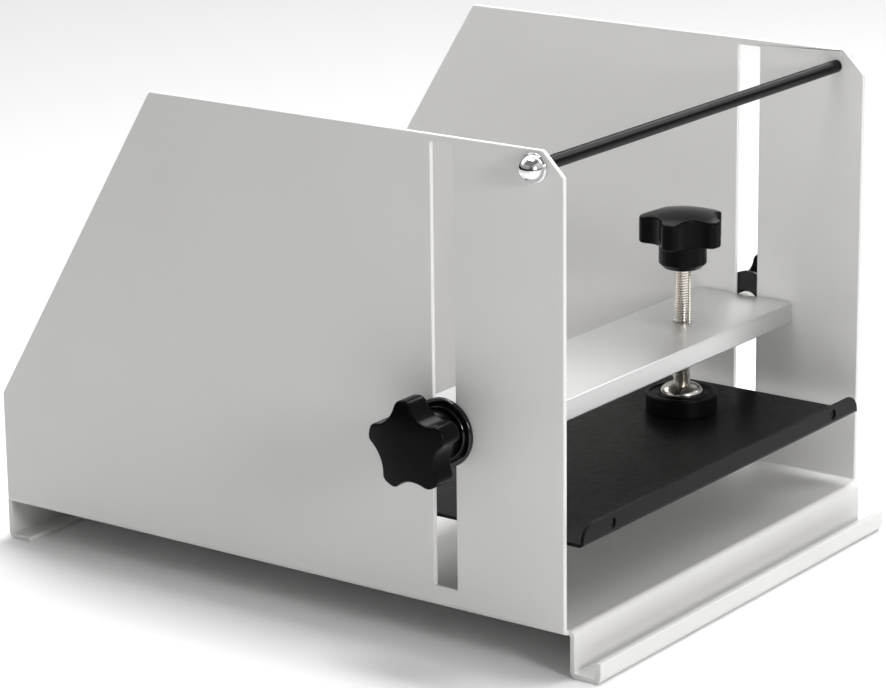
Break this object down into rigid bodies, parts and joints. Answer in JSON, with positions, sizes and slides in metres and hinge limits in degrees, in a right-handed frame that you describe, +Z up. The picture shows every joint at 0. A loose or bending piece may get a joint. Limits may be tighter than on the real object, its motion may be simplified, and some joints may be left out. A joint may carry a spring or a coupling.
{
  "type": "bookbinding press",
  "caption": "Bench bookbinding press: open folded-sheet stand with slotted sides, an adjustable clamp bar, screw spindles with star knobs and a flat press plate.",
  "frame": {"origin": "on the surface it stands on, under the middle of its length and width", "axes": "+Z up, -Y towards the open front with the tray, +X to the right when facing the front"},
  "size_m": [0.3852, 0.4206, 0.285],
  "materials": {
    "grey_paint": "light warm-grey powder coat, satin",
    "black_paint": "satin black paint",
    "plate_paint": "satin black powder coat",
    "satin_aluminium": "satin, finely brushed along its length",
    "black_plastic": "moulded, half-gloss black",
    "knob_plastic": "moulded, gloss black",
    "guide_nylon": "natural nylon",
    "screw_steel": "bright turned and threaded",
    "stud_steel": "zinc-plated, threaded",
    "chrome": "polished",
    "brass": "turned"
  },
  "bodies": {
    "stand": {"folded_body": "grey_paint", "tie_rod": "black_paint", "tie_rod_screw_left": "chrome", "tie_rod_screw_right": "chrome"},
    "clamp_beam": {"clamp_bar": "satin_aluminium", "guide_bush_left": "guide_nylon", "guide_bush_right": "guide_nylon"},
    "press_foot": {"press_plate": "plate_paint", "foot_cup_left": "black_plastic", "foot_cup_right": "black_plastic"},
    "press_spindle_left": {"press_screw_left": "screw_steel", "knob_insert_left": "brass", "press_knob_left": "knob_plastic"},
    "press_spindle_right": {"press_screw_right": "screw_steel", "knob_insert_right": "brass", "press_knob_right": "knob_plastic"},
    "clamp_pad_left": {"clamp_washer_left": "black_plastic"},
    "clamp_handle_left": {"clamp_stud_left": "stud_steel", "clamp_knob_left": "knob_plastic"},
    "clamp_pad_right": {"clamp_washer_right": "black_plastic"},
    "clamp_handle_right": {"clamp_stud_right": "stud_steel", "clamp_knob_right": "knob_plastic"}
  },
  "joints": [
    {"name": "bar_lift", "type": "slide", "parent": "stand", "child": "clamp_beam", "axis": [0, 0, 1], "range_m": [-0.014, 0.149]},
    {"name": "press_feed", "type": "slide", "parent": "clamp_beam", "child": "press_foot", "axis": [0, 0, 1], "range_m": [-0.032, 0.024]},
    {"name": "press_left_turn", "type": "hinge", "parent": "press_foot", "child": "press_spindle_left", "pos_m": [-0.081, -0.11325, 0.1625], "axis": [0, 0, 1], "range_deg": [-7680, 5760]},
    {"name": "press_right_turn", "type": "hinge", "parent": "press_foot", "child": "press_spindle_right", "pos_m": [0.081, -0.11325, 0.1625], "axis": [0, 0, 1], "range_deg": [-7680, 5760]},
    {"name": "clamp_left_feed", "type": "slide", "parent": "clamp_beam", "child": "clamp_pad_left", "axis": [-1, 0, 0], "range_m": [0, 0.0025]},
    {"name": "clamp_left_turn", "type": "hinge", "parent": "clamp_pad_left", "child": "clamp_handle_left", "pos_m": [-0.1586, -0.11325, 0.124], "axis": [-1, 0, 0], "range_deg": [0, 720]},
    {"name": "clamp_right_feed", "type": "slide", "parent": "clamp_beam", "child": "clamp_pad_right", "axis": [1, 0, 0], "range_m": [0, 0.0025]},
    {"name": "clamp_right_turn", "type": "hinge", "parent": "clamp_pad_right", "child": "clamp_handle_right", "pos_m": [0.1586, -0.11325, 0.124], "axis": [1, 0, 0], "range_deg": [0, 720]}
  ],
  "couplings": [
    {"joint": "press_left_turn", "follows": "press_feed", "rad_per_m": 4188.8},
    {"joint": "press_right_turn", "follows": "press_feed", "rad_per_m": 4188.8},
    {"joint": "clamp_left_turn", "follows": "clamp_left_feed", "rad_per_m": 5026.5},
    {"joint": "clamp_right_turn", "follows": "clamp_right_feed", "rad_per_m": 5026.5}
  ]
}
